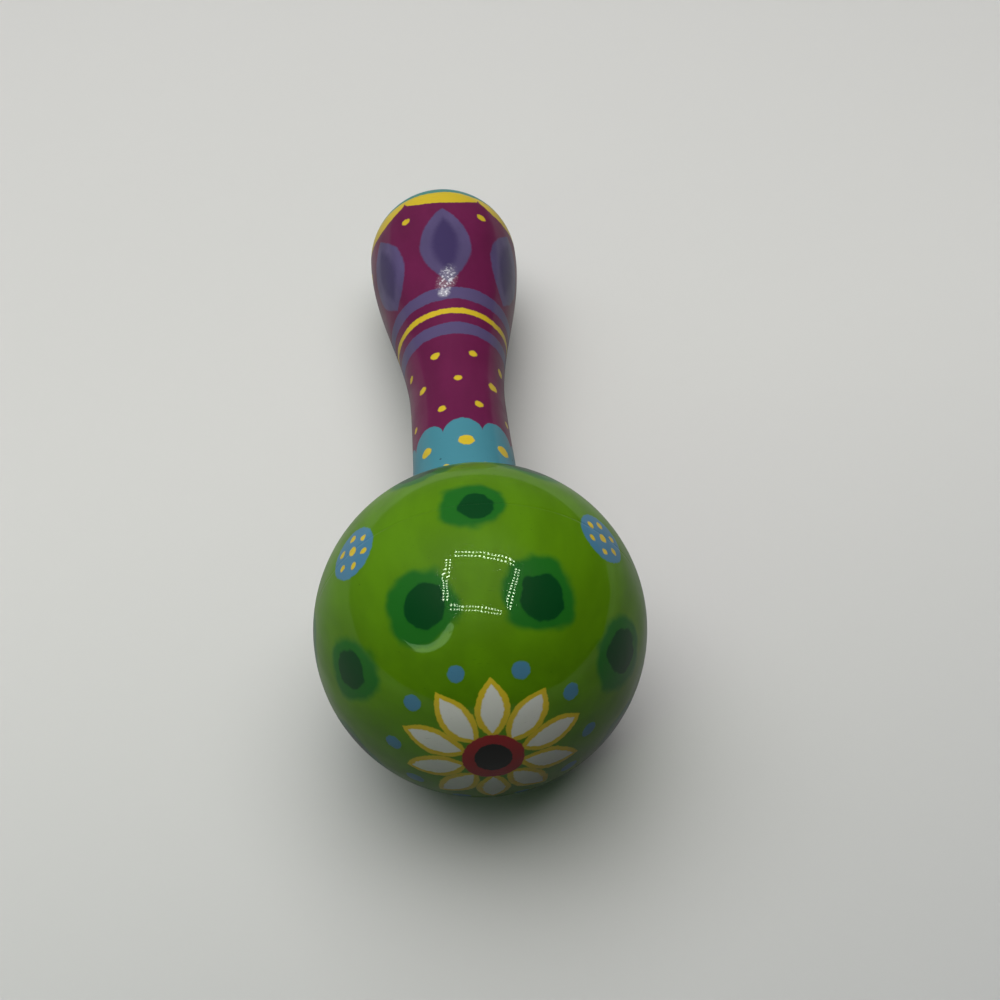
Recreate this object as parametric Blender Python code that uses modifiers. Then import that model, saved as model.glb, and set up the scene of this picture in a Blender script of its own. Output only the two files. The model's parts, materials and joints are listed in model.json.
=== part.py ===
"""Wooden hand shaker: a hollow turned ball in two glued halves, a turned handle and loose beads.

Units are metres and +Z is up. The shaker lies on the surface z = 0 as it does when it is put down,
on the ball and on the thick end of its handle. The ball is at -Y and the handle points to +Y.

Each turned piece is drawn about its own Z axis, with the ball's centre at zero and the handle
towards +Z. One empty, turning_axis, then lays all of them down.
"""

import math

import bmesh
import bpy

# Driving dimensions: the ball
BALL_DIAMETER = 0.056
BALL_WALL = 0.005
TONGUE_LENGTH = 0.003
TONGUE_THICKNESS = 0.0022

# Driving dimensions: the handle, with stations measured from where its axis leaves the ball
HANDLE_LENGTH = 0.1012
SHOULDER_DIAMETER = 0.0206
NECK_DIAMETER = 0.0187
NECK_STATION = 0.0318
KNOB_DIAMETER = 0.0326
DOME_LENGTH = 0.0156
END_FLAT_DIAMETER = 0.006
TENON_DIAMETER = 0.012
TENON_CHAMFER = 0.0008
SOCKET_LAND = 0.004

# Driving dimensions: the beads
BEAD_DIAMETER = 0.005
BEAD_SPACING = 0.0004
BEAD_RING_COUNT = 2
FIRST_RING_COUNT = 6

# Clearance between pieces that are glued or rest on each other
JOINT_GAP = 0.0003

# Facets: an odd number of facet pairs puts a flat facet straight under the axis
TURN_STEPS = 42
BALL_STEPS = 11
CAVITY_STEPS = 9
SEAT_STEPS = 3
NECK_STEPS = 4
FLARE_STEPS = 11
DOME_STEPS = 9
BEAD_STEPS = 2
MERGE_DISTANCE = 0.00001
SHARP_ANGLE = math.radians(32)

# Colours as linear RGB, with roughness and metallic value
HEAD_FINISH = ((0.110, 0.235, 0.012), 0.16, 0.0)
HANDLE_FINISH = ((0.160, 0.018, 0.070), 0.24, 0.0)
BEAD_FINISH = ((0.560, 0.560, 0.550), 0.30, 1.0)

# Sizes that follow from the driving dimensions
BALL_RADIUS = BALL_DIAMETER / 2
CAVITY_RADIUS = BALL_RADIUS - BALL_WALL
LAND_FACE = CAVITY_RADIUS - SOCKET_LAND
TENON_RADIUS = TENON_DIAMETER / 2
SOCKET_RADIUS = TENON_RADIUS + JOINT_GAP
SEAT_RADIUS = BALL_RADIUS + JOINT_GAP
SHOULDER_RADIUS = SHOULDER_DIAMETER / 2
NECK_RADIUS = NECK_DIAMETER / 2
KNOB_RADIUS = KNOB_DIAMETER / 2
END_FLAT_RADIUS = END_FLAT_DIAMETER / 2
NECK_AT = BALL_RADIUS + NECK_STATION
END_AT = BALL_RADIUS + HANDLE_LENGTH
KNOB_AT = END_AT - DOME_LENGTH
BEAD_RADIUS = BEAD_DIAMETER / 2

# A facet's middle is nearer the axis than its corners, by this factor
FACET_FACTOR = math.cos(math.pi / TURN_STEPS)

# The shaker lies on its two widest rings, which sets the tilt of its axis and the ball's height
LYING_TILT = math.atan(FACET_FACTOR * (BALL_RADIUS - KNOB_RADIUS) / KNOB_AT)
BALL_HEIGHT = FACET_FACTOR * BALL_RADIUS * math.cos(LYING_TILT)


def steps(first, last, count):
    """Evenly spaced values from first to last, with count spaces between them."""
    return [first + (last - first) * i / count for i in range(count + 1)]


def on_circle(radius, latitudes):
    """Profile points (distance from the axis, station) of a ball about the axis."""
    return [(radius * math.cos(a), radius * math.sin(a)) for a in latitudes]


def on_axis_ends(profile):
    """The profile with its first and last points exactly on the axis."""
    return [(0.0, profile[0][1])] + profile[1:-1] + [(0.0, profile[-1][1])]


def lying_facet_angle(length, radius):
    """The angle on an oval end, from its widest ring, where the facet that lies flat ends."""
    return 2 * math.atan(length * math.tan(LYING_TILT) / (radius * FACET_FACTOR))


def front_half_profile():
    """The closed half of the ball, from the middle of its hollow, over its tongue, to its nose."""
    hollow = on_circle(CAVITY_RADIUS, steps(-math.pi / 2, 0, CAVITY_STEPS))
    tongue_radius = CAVITY_RADIUS + TONGUE_THICKNESS
    rim = -JOINT_GAP / 2
    tongue = [
        (CAVITY_RADIUS, TONGUE_LENGTH),
        (tongue_radius, TONGUE_LENGTH),
        (tongue_radius, rim),
    ]
    rim_latitude = math.asin(rim / BALL_RADIUS)
    outside = on_circle(BALL_RADIUS, steps(rim_latitude, -math.pi / 2, BALL_STEPS))
    return on_axis_ends(hollow + tongue + outside)


def rear_half_profile():
    """The half of the ball with the handle's socket, a closed outline that never meets the axis."""
    socket_latitude = math.acos(SOCKET_RADIUS / BALL_RADIUS)
    lying_latitude = lying_facet_angle(BALL_RADIUS, BALL_RADIUS)
    rim = JOINT_GAP / 2
    rim_radius = BALL_RADIUS - rim * math.tan(LYING_TILT) / FACET_FACTOR
    outside = on_circle(BALL_RADIUS, steps(socket_latitude, lying_latitude, BALL_STEPS - 2))
    rebate_radius = CAVITY_RADIUS + TONGUE_THICKNESS + JOINT_GAP
    rebate_floor = TONGUE_LENGTH + JOINT_GAP
    rebate = [(rim_radius, rim), (rebate_radius, rim), (rebate_radius, rebate_floor)]
    floor_latitude = math.asin(rebate_floor / CAVITY_RADIUS)
    land_latitude = math.asin(LAND_FACE / CAVITY_RADIUS)
    hollow = on_circle(CAVITY_RADIUS, steps(floor_latitude, land_latitude, CAVITY_STEPS - 2))
    return outside + rebate + hollow + [(SOCKET_RADIUS, LAND_FACE)]


def handle_profile():
    """The handle from its flat end, over the knob and the neck, to the end of its tenon."""
    flat_angle = math.acos(END_FLAT_RADIUS / KNOB_RADIUS)
    dome = DOME_LENGTH / math.sin(flat_angle)
    dome_angles = steps(flat_angle, lying_facet_angle(dome, KNOB_RADIUS), DOME_STEPS) + [0.0]
    knob = [(KNOB_RADIUS * math.cos(a), KNOB_AT + dome * math.sin(a)) for a in dome_angles]
    flare = []
    for part in steps(1, 0, FLARE_STEPS)[1:]:
        swell = part * part * (3 - 2 * part)
        radius = NECK_RADIUS + (KNOB_RADIUS - NECK_RADIUS) * swell
        flare.append((radius, NECK_AT + (KNOB_AT - NECK_AT) * part))
    seat_top = math.sqrt(SEAT_RADIUS**2 - SHOULDER_RADIUS**2)
    neck = []
    for part in steps(0, 1, NECK_STEPS)[1:]:
        radius = NECK_RADIUS + (SHOULDER_RADIUS - NECK_RADIUS) * part * part
        neck.append((radius, NECK_AT + (seat_top - NECK_AT) * part))
    shoulder_latitude = math.acos(SHOULDER_RADIUS / SEAT_RADIUS)
    tenon_latitude = math.acos(TENON_RADIUS / SEAT_RADIUS)
    seat = on_circle(SEAT_RADIUS, steps(shoulder_latitude, tenon_latitude, SEAT_STEPS)[1:])
    tenon = [
        (TENON_RADIUS, LAND_FACE + TENON_CHAMFER),
        (TENON_RADIUS - TENON_CHAMFER, LAND_FACE),
        (0.0, LAND_FACE),
    ]
    return on_axis_ends([(0.0, END_AT)] + knob + flare + neck + seat + tenon)


def finish_material(name, finish):
    colour, roughness, metallic = finish
    material = bpy.data.materials.new(name)
    material.use_nodes = True
    shader = material.node_tree.nodes["Principled BSDF"]
    shader.inputs["Base Color"].default_value = (*colour, 1.0)
    shader.inputs["Roughness"].default_value = roughness
    shader.inputs["Metallic"].default_value = metallic
    return material


def turned_piece(name, profile, closed, finish, collection, axis):
    """A profile of (radius, station) points turned about Z and hung on the shaker's axis."""
    points = [(radius, 0.0, station) for radius, station in profile]
    edges = [(i, i + 1) for i in range(len(points) - 1)]
    if closed:
        edges.append((len(points) - 1, 0))
    mesh = bpy.data.meshes.new(name)
    mesh.from_pydata(points, edges, [])
    piece = bpy.data.objects.new(name, mesh)
    collection.objects.link(piece)
    screw = piece.modifiers.new("Turning", "SCREW")
    screw.axis = "Z"
    screw.angle = 2 * math.pi
    screw.steps = TURN_STEPS
    screw.render_steps = TURN_STEPS
    screw.use_merge_vertices = True
    screw.merge_threshold = MERGE_DISTANCE
    bpy.context.view_layer.objects.active = piece
    bpy.ops.object.modifier_apply(modifier=screw.name)
    piece.data.shade_smooth()
    piece.data.set_sharp_from_angle(angle=SHARP_ANGLE)
    piece.data.materials.append(finish_material(name, finish))
    piece.parent = axis
    return piece


def bead_places():
    """Bead centres in one layer on the bottom of the hollow, in rings about the lowest point."""
    cavity_facet = math.cos(math.pi / 4 / CAVITY_STEPS)
    path = CAVITY_RADIUS * FACET_FACTOR * cavity_facet - BEAD_RADIUS - JOINT_GAP
    pitch = BEAD_DIAMETER + BEAD_SPACING
    places = [(0.0, 0.0, -path)]
    for ring in range(1, BEAD_RING_COUNT + 1):
        radius = ring * pitch
        depth = math.sqrt(path**2 - radius**2)
        count = ring * FIRST_RING_COUNT
        for i in range(count):
            turn = 2 * math.pi * i / count
            places.append((radius * math.sin(turn), radius * math.cos(turn), -depth))
    return places


def add_beads(collection, ball_centre):
    """One loose bead for each place, all sharing one mesh."""
    mesh = bpy.data.meshes.new("bead")
    shape = bmesh.new()
    bmesh.ops.create_icosphere(shape, subdivisions=BEAD_STEPS, radius=BEAD_RADIUS)
    shape.to_mesh(mesh)
    shape.free()
    mesh.shade_smooth()
    mesh.materials.append(finish_material("bead", BEAD_FINISH))
    for number, place in enumerate(bead_places(), start=1):
        bead = bpy.data.objects.new(f"bead_{number:02d}", mesh)
        bead.location = [c + p for c, p in zip(ball_centre, place)]
        collection.objects.link(bead)


def ball_centre_of(handle):
    """Where the ball's centre is, so that the whole shaker is centred on the origin and lies on z = 0."""
    reach = max(s * math.cos(LYING_TILT) + r * math.sin(LYING_TILT) for r, s in handle)
    return (0.0, (BALL_RADIUS - reach) / 2, BALL_HEIGHT)


def clear_scene():
    for obj in list(bpy.data.objects):
        bpy.data.objects.remove(obj, do_unlink=True)


def main():
    clear_scene()
    collection = bpy.data.collections.new("wooden_shaker")
    bpy.context.scene.collection.children.link(collection)
    handle = handle_profile()
    ball_centre = ball_centre_of(handle)

    axis = bpy.data.objects.new("turning_axis", None)
    axis.location = ball_centre
    axis.rotation_euler = (-math.pi / 2 - LYING_TILT, 0.0, 0.0)
    collection.objects.link(axis)

    turned_piece("head_front_half", front_half_profile(), False, HEAD_FINISH, collection, axis)
    turned_piece("head_rear_half", rear_half_profile(), True, HEAD_FINISH, collection, axis)
    turned_piece("handle", handle, False, HANDLE_FINISH, collection, axis)
    add_beads(collection, ball_centre)


main()
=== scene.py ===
# %% [markdown]
# # A painted wooden shaker
#
# This lesson dresses a turned wooden shaker: a hollow ball in two glued halves, a handle with a
# waist, and loose beads inside. The solids come from the CAD model, with flat facets all round.
# Here each wooden piece is turned again, smooth and fine, and painted and lacquered with nodes.
# Everything is in metres, in the CAD model's own frame, so nothing has to be fitted afterwards.

# %% Load the frame
import json
import math

import bmesh
import bpy
from mathutils import Euler, Matrix, Vector


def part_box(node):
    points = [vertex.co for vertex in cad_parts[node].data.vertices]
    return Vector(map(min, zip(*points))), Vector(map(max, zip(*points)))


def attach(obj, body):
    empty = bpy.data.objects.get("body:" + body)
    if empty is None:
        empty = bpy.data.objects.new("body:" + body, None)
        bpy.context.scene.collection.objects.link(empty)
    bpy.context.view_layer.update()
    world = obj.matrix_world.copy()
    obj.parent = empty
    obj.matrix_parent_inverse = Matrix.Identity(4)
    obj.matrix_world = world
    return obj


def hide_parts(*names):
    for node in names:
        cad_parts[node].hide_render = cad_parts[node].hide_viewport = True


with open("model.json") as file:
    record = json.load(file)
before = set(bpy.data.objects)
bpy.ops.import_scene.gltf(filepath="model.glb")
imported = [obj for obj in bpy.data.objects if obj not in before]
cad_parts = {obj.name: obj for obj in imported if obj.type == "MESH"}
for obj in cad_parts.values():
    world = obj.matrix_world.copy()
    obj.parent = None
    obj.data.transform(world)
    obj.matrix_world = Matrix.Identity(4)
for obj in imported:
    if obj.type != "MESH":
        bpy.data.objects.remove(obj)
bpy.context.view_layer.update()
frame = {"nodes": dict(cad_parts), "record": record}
record = frame["record"]
bpy.context.scene.view_settings.view_transform = "Standard"

# %% [markdown]
# ## Where the turning axis lies
#
# All three wooden pieces are round about one axis. It runs from the ball's centre to the flat on
# the handle's end, and it dips a little, because the handle's thick end is thinner than the ball.
# The frame holds both points: the hollow's box is centred on the ball, and a mount marks the end.
# Pieces are modelled upright about Z, with the ball's centre at zero, and then laid on this axis.

# %% Read the axis and the main sizes from the frame
mounts = {mount["name"]: mount for mount in record["mounts"]}
hollow_low, hollow_high = record["physics"]["openings"][0]["box_m"]
BALL_CENTRE = (Vector(hollow_low) + Vector(hollow_high)) / 2
AXIS = Vector(mounts["handle_end"]["axis"])
TILT = math.asin(-AXIS.z)
LAYING = Euler((-math.pi / 2 - TILT, 0, 0))
LAID_DOWN = Matrix.Translation(BALL_CENTRE) @ LAYING.to_matrix().to_4x4()
END_AT = (Vector(mounts["handle_end"]["pos_m"]) - BALL_CENTRE).length
NECK_AT = (Vector(mounts["grip"]["pos_m"]) - BALL_CENTRE).length
BALL_RADIUS = BALL_CENTRE.z
print(f"tilt {math.degrees(TILT):.2f} deg, ball radius {BALL_RADIUS * 1000:.2f} mm")
print(f"neck at {NECK_AT * 1000:.1f} mm, end at {END_AT * 1000:.1f} mm from the ball's centre")

# %% [markdown]
# ## The camera
#
# The photograph looks down on the ball from close by, with the handle running away behind it. The
# ball's outline is almost a true circle and the handle shrinks only a little with distance, which
# tells the lens and the distance apart. The camera is put on a line from the ball's centre, and
# then turned up and to the right a little, because the ball sits low and left in the picture.

# %% Place the camera
PICTURE = 1000
FOCAL_PIXELS = 1500
BALL_PIXEL = (480.5, 627.9)
CAMERA_AZIMUTH = math.radians(-3.55)
CAMERA_ELEVATION = math.radians(51.98)
CAMERA_DISTANCE = 0.2518
CLIP_START = 0.01
SENSOR = 36


def place_camera():
    level = math.cos(CAMERA_ELEVATION)
    back = Vector((math.sin(CAMERA_AZIMUTH) * level, -math.cos(CAMERA_AZIMUTH) * level,
                   math.sin(CAMERA_ELEVATION)))
    right = Vector((0, 0, 1)).cross(back).normalized()
    up = math.atan((BALL_PIXEL[1] - PICTURE / 2) / FOCAL_PIXELS)
    aside = math.atan((BALL_PIXEL[0] - PICTURE / 2) / FOCAL_PIXELS) / level
    aim = Matrix.Rotation(up, 3, right) @ -back
    aim = Matrix.Rotation(aside, 3, "Z") @ aim
    bpy.ops.object.camera_add(location=BALL_CENTRE + back * CAMERA_DISTANCE)
    camera = bpy.context.object
    camera.name = "photo_camera"
    camera.rotation_euler = aim.to_track_quat("-Z", "Y").to_euler()
    camera.data.sensor_width = SENSOR
    camera.data.lens = SENSOR * FOCAL_PIXELS / PICTURE
    camera.data.clip_start = CLIP_START
    camera.data.dof.use_dof = False
    bpy.context.scene.camera = camera
    return camera


def pixel_of(camera, point):
    """Where a point of the frame falls in the photograph's picture."""
    bpy.context.view_layer.update()
    seen = camera.matrix_world.inverted() @ point
    right = PICTURE / 2 - FOCAL_PIXELS * seen.x / seen.z
    down = PICTURE / 2 + FOCAL_PIXELS * seen.y / seen.z
    return right, down


camera = place_camera()
print("ball's centre falls on pixel", [round(c, 1) for c in pixel_of(camera, BALL_CENTRE)])

# %% [markdown]
# ## How a turned piece is modelled
#
# On a lathe the wood spins and the cutter draws the outline. By hand in Blender the same shape
# grows ring by ring: a ring of edges is extruded along the axis and scaled to the next radius. It
# keeps every ring round and even, and the rings can crowd together where the outline bends fast.
# The helpers below add a ring, follow a list of (radius, height) points, and lay the piece down.

# %% Helpers for turning
SEGMENTS = 144
RIM_ANGLE = math.radians(35)
SAME_PLACE = 0.000003


def begin(name):
    """Names the primitive that was just added and opens it for editing."""
    piece = bpy.context.object
    piece.name = name
    piece.data.name = name
    bpy.ops.object.mode_set(mode="EDIT")
    return piece


def clear_selection():
    if bpy.context.object and bpy.context.object.mode == "EDIT":
        bpy.ops.object.mode_set(mode="OBJECT")
    bpy.ops.object.select_all(action="DESELECT")


def selected_ring():
    """The radius and height of the ring of points that is selected."""
    points = [v.co.copy() for v in bmesh.from_edit_mesh(bpy.context.object.data).verts if v.select]
    return points[0].xy.length, points[0].z


def follow(outline):
    """Grows the selected ring through each (radius, height) of the outline."""
    radius, height = selected_ring()
    for new_radius, new_height in outline:
        bpy.ops.mesh.extrude_region_move(TRANSFORM_OT_translate={"value": (0, 0, new_height - height)})
        scale = new_radius / radius
        bpy.ops.transform.resize(value=(scale, scale, 1), center_override=(0, 0, new_height))
        radius, height = new_radius, new_height


def arc(radius, first, last, count):
    """Points on a ball about the centre, by latitude, without the first one."""
    turns = [first + (last - first) * i / count for i in range(1, count + 1)]
    return [(radius * math.cos(turn), radius * math.sin(turn)) for turn in turns]


def select_edge_ring(radius, height):
    """Selects the ring of edges at a radius and height, to bevel it."""
    bpy.ops.mesh.select_mode(type="EDGE")
    bpy.ops.mesh.select_all(action="DESELECT")
    mesh = bmesh.from_edit_mesh(bpy.context.object.data)
    for edge in mesh.edges:
        spots = [abs(v.co.xy.length - radius) + abs(v.co.z - height) for v in edge.verts]
        edge.select_set(max(spots) < SAME_PLACE)
    bmesh.update_edit_mesh(bpy.context.object.data)
    bpy.ops.mesh.select_mode(type="VERT")


def close_and_lay_down(piece):
    """Merges doubled points, closes open ends, turns faces outwards and lays the piece on the axis."""
    bpy.ops.mesh.select_all(action="SELECT")
    bpy.ops.mesh.remove_doubles(threshold=SAME_PLACE)
    bpy.ops.mesh.fill_holes(sides=0)
    bpy.ops.mesh.select_all(action="SELECT")
    bpy.ops.mesh.normals_make_consistent(inside=False)
    bpy.ops.object.mode_set(mode="OBJECT")
    piece.matrix_world = LAID_DOWN
    bpy.ops.object.transform_apply(location=True, rotation=True, scale=True)
    bpy.ops.object.shade_smooth_by_angle(angle=RIM_ANGLE)
    print(piece.name, "has", len(piece.data.polygons), "faces")


print("each turned piece has", SEGMENTS, "segments round it")

# %% [markdown]
# ## The front half of the ball
#
# The ball is too round to be hollowed in one go, so it is turned as two cups that are glued at the
# middle. The front cup starts as a ball that is cut in half. Its open edge is carried inwards for
# the rim, up and over for the glue tongue, and down the hollow, ring by ring, to a closed bottom.

# %% Turn the front half
WALL = 0.005
TONGUE_LENGTH = 0.003
TONGUE_THICKNESS = 0.0022
GLUE_LINE = 0.000004
SEAM_BEVEL = 0.000015
SEAM_SEGMENTS = 2
BALL_RINGS = 97
HOLLOW_RADIUS = BALL_RADIUS - WALL
HOLLOW_RINGS = 20
HOLLOW_END = math.radians(88)


def add_ball(name):
    clear_selection()
    bpy.ops.mesh.primitive_uv_sphere_add(segments=SEGMENTS, ring_count=BALL_RINGS, radius=BALL_RADIUS)
    return begin(name)


def cut_away(height, side):
    """Cuts the open piece at a height and removes what lies on that side. The cut stays selected."""
    bpy.ops.mesh.select_all(action="SELECT")
    bpy.ops.mesh.bisect(plane_co=(0, 0, height), plane_no=(0, 0, side), clear_outer=True)


def soften_seam(height):
    """A hair of a bevel on the outer edge of the rim, where paint has drawn back from the glue line."""
    select_edge_ring(rim_radius, height)
    bpy.ops.mesh.bevel(offset=SEAM_BEVEL, segments=SEAM_SEGMENTS, affect="EDGES")


front = add_ball("front_half")
cut_away(-GLUE_LINE, 1)
rim_radius = selected_ring()[0]
tongue_radius = HOLLOW_RADIUS + TONGUE_THICKNESS
follow([
    (tongue_radius, -GLUE_LINE),
    (tongue_radius, TONGUE_LENGTH),
    (HOLLOW_RADIUS, TONGUE_LENGTH),
    (HOLLOW_RADIUS, 0),
    *arc(HOLLOW_RADIUS, 0, -HOLLOW_END, HOLLOW_RINGS),
])
bpy.ops.mesh.merge(type="CENTER")
soften_seam(-GLUE_LINE)
close_and_lay_down(front)

# %% [markdown]
# ## The rear half of the ball
#
# The rear cup has the socket for the handle. Inside, the wood is left thicker round the socket, so
# that the tenon has a long glue face. The cut for the socket is followed down the bore, across the
# flat land, round the hollow to the rebate that takes the tongue, and out to the rim.

# %% Turn the rear half
TENON_RADIUS = 0.006
SOCKET_CLEARANCE = 0.0001
SOCKET_LAND = 0.004
SOCKET_RADIUS = TENON_RADIUS + SOCKET_CLEARANCE
LAND_AT = HOLLOW_RADIUS - SOCKET_LAND

rear = add_ball("rear_half")
cut_away(GLUE_LINE, -1)
socket_top = math.sqrt(BALL_RADIUS**2 - SOCKET_RADIUS**2)
cut_away(socket_top, 1)
rebate_radius = tongue_radius + SOCKET_CLEARANCE
rebate_floor = TONGUE_LENGTH + SOCKET_CLEARANCE
land_turn = math.asin(LAND_AT / HOLLOW_RADIUS)
floor_turn = math.asin(rebate_floor / HOLLOW_RADIUS)
follow([
    (SOCKET_RADIUS, LAND_AT),
    (HOLLOW_RADIUS * math.cos(land_turn), LAND_AT),
    *arc(HOLLOW_RADIUS, land_turn, floor_turn, HOLLOW_RINGS),
    (rebate_radius, rebate_floor),
    (rebate_radius, GLUE_LINE),
    (rim_radius, GLUE_LINE),
])
bpy.ops.mesh.select_all(action="SELECT")
bpy.ops.mesh.remove_doubles(threshold=SAME_PLACE)
soften_seam(GLUE_LINE)
close_and_lay_down(rear)

# %% [markdown]
# ## The handle
#
# The handle is one turning: a tenon, a hollowed shoulder that sits on the ball, a waist for a small
# hand and a thick round end. The outline is written as three smooth stretches, so that it can be
# followed in many fine rings. The thick end is sized so that it just touches the floor.

# %% Turn the handle
SHOULDER_RADIUS = 0.0103
NECK_RADIUS = 0.00935
DOME_LENGTH = 0.0156
DOME_WITHOUT_FLAT = 0.01589
END_FLAT_RADIUS = 0.0029
EDGE_ROUNDING = 0.0004
SEAT_RINGS = 5
EDGE_RINGS = 3
NECK_RINGS = 16
SWELL_RINGS = 40
DOME_RINGS = 30
KNOB_AT = END_AT - DOME_LENGTH


def knob_radius():
    """The thick end's radius when it lies on the floor together with the ball."""
    drop = BALL_CENTRE.z - KNOB_AT * math.sin(TILT)
    return math.sqrt(drop**2 - (DOME_WITHOUT_FLAT * math.sin(TILT))**2) / math.cos(TILT)


def shares(count):
    """Even steps from just over 0 up to 1."""
    return [i / count for i in range(1, count + 1)]


def rounded_edge(radius, height):
    """A quarter round, from the seat's edge out to a radius at a height."""
    points = []
    for share in shares(EDGE_RINGS):
        turn = math.pi / 2 * share
        inwards = EDGE_ROUNDING * (1 - math.sin(turn))
        points.append((radius - inwards, height - EDGE_ROUNDING * math.cos(turn)))
    return points


def neck_outline(shoulder_top):
    """From the shoulder down to the waist, ever more gently."""
    points = []
    for share in shares(NECK_RINGS):
        radius = NECK_RADIUS + (SHOULDER_RADIUS - NECK_RADIUS) * (1 - share)**2
        points.append((radius, shoulder_top + (NECK_AT - shoulder_top) * share))
    return points


def swell_outline():
    """From the waist out to the thick end, level where it starts and where it stops."""
    points = []
    for share in shares(SWELL_RINGS):
        eased = share * share * (3 - 2 * share)
        radius = NECK_RADIUS + (knob_radius() - NECK_RADIUS) * eased
        points.append((radius, NECK_AT + (KNOB_AT - NECK_AT) * share))
    return points


def dome_outline():
    """Round the thick end to the small flat."""
    knob = knob_radius()
    last_turn = math.acos(END_FLAT_RADIUS / knob)
    rise = DOME_LENGTH / math.sin(last_turn)
    turns = [last_turn * share for share in shares(DOME_RINGS)]
    return [(knob * math.cos(turn), KNOB_AT + rise * math.sin(turn)) for turn in turns]


clear_selection()
bpy.ops.mesh.primitive_circle_add(vertices=SEGMENTS, radius=TENON_RADIUS)
handle = begin("turned_handle")
bpy.ops.transform.translate(value=(0, 0, LAND_AT))
seat_radius = BALL_RADIUS + GLUE_LINE
seat_turn = math.acos(TENON_RADIUS / seat_radius)
edge_turn = math.acos((SHOULDER_RADIUS - EDGE_ROUNDING) / seat_radius)
edge_top = seat_radius * math.sin(edge_turn)
shoulder_top = edge_top + EDGE_ROUNDING
follow([
    (TENON_RADIUS, seat_radius * math.sin(seat_turn)),
    *arc(seat_radius, seat_turn, edge_turn, SEAT_RINGS),
    *rounded_edge(SHOULDER_RADIUS, shoulder_top),
    *neck_outline(shoulder_top),
    *swell_outline(),
    *dome_outline(),
])
close_and_lay_down(handle)
print(f"knob radius {knob_radius() * 1000:.2f} mm")

# %% [markdown]
# ## The beads
#
# Steel shot in the hollow makes the sound. Nobody sees it, but it is part of the toy, and each shot
# moves by itself. Shot is cast and tumbled, so it is nearly a ball with faint flats. One bead is
# made from a fine ball whose points are pushed about a little, and it is copied for each place.

# %% Make the beads
BEAD_ROUGHNESS = 0.00002
BEAD_FINENESS = 4
BEAD_SEED = 4
BEAD_SMOOTHING = 0.5
bead_names = sorted(name for name in frame["nodes"] if name.startswith("bead"))


def cast_bead(name, low, high):
    """A nearly round bead that fills the CAD bead's box."""
    clear_selection()
    radius = min(high - low) / 2 - BEAD_ROUGHNESS
    bpy.ops.mesh.primitive_ico_sphere_add(subdivisions=BEAD_FINENESS, radius=radius)
    bead = begin(name)
    bpy.ops.transform.vertex_random(offset=BEAD_ROUGHNESS, uniform=0, normal=1, seed=BEAD_SEED)
    bpy.ops.mesh.vertices_smooth(factor=BEAD_SMOOTHING)
    bpy.ops.transform.translate(value=(low + high) / 2)
    bpy.ops.object.mode_set(mode="OBJECT")
    bpy.ops.object.shade_smooth()
    return bead


def middle_of(name):
    return sum(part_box(name), Vector()) / 2


first_name = bead_names[0]
first = cast_bead("shot_01", *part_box(first_name))
beads = {first_name: first}
for name in bead_names[1:]:
    copy = first.copy()
    copy.data = first.data.copy()
    copy.name = name.replace("bead", "shot")
    copy.data.name = copy.name
    bpy.context.scene.collection.objects.link(copy)
    copy.data.transform(Matrix.Translation(middle_of(name) - middle_of(first_name)))
    beads[name] = copy
print(len(beads), "beads of", len(first.data.polygons), "faces")

# %% [markdown]
# ## Mixing paint with nodes
#
# A painted finish is a stack: a ground coat, motifs laid over it one by one, fine grain that shows
# through, and gloss lacquer on top. In nodes each motif is a distance: below zero is inside its
# edge. This bench keeps one finish together: its nodes, its colour so far and how thick the paint
# lies. Each method adds a node or two, so that a finish below reads like a recipe.

# %% The paint bench
BRUSH_EDGE = 0.14
BRUSH_FRAY = 0.12
FRAY_PITCH = 0.18
FRAY_SWING = 4


def srgb(red, green, blue):
    """A colour as a picture shows it, 0 to 255, turned into the linear values that nodes use."""
    parts = [c / 255 for c in (red, green, blue)]
    return (*[p / 12.92 if p <= 0.04045 else ((p + 0.055) / 1.055)**2.4 for p in parts], 1)


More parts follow.
